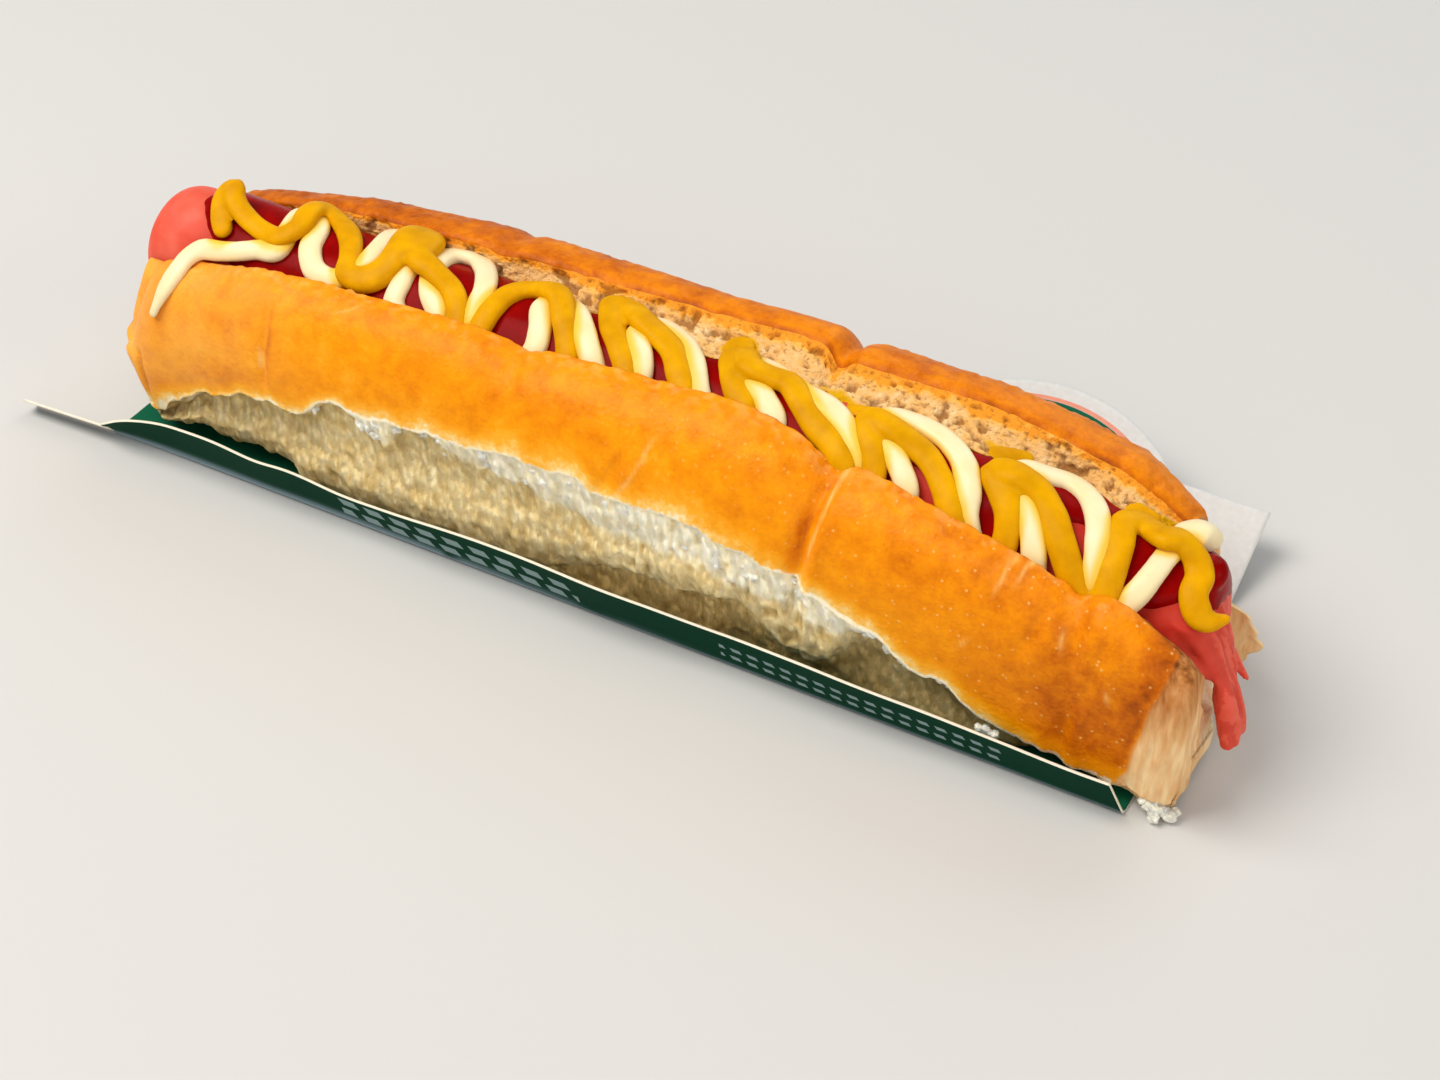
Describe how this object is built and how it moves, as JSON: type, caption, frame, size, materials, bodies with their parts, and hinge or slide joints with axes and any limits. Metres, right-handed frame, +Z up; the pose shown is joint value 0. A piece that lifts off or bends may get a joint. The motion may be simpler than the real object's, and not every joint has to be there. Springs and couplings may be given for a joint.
{
  "type": "hot dog",
  "caption": "Long frankfurter in a soft top-split roll with zigzags of ketchup, mustard and mayonnaise, standing in an open folded card tray.",
  "frame": {"origin": "on the underside of the card tray, midway between its two long folds and under the middle of the roll", "axes": "+X along the roll towards the end with the torn sausage, +Y across it towards the panel with the round tab, +Z up"},
  "size_m": [0.2537, 0.0955, 0.0491],
  "materials": {
    "card": "satin",
    "bread_crust": "satin",
    "bread_crumb": "matte",
    "frankfurter": "satin",
    "ketchup": "gloss",
    "mustard": "gloss",
    "mayonnaise": "gloss"
  },
  "bodies": {
    "root": {"card_tray": "card", "roll": "bread_crust", "sausage": "frankfurter"}
  },
  "joints": []
}
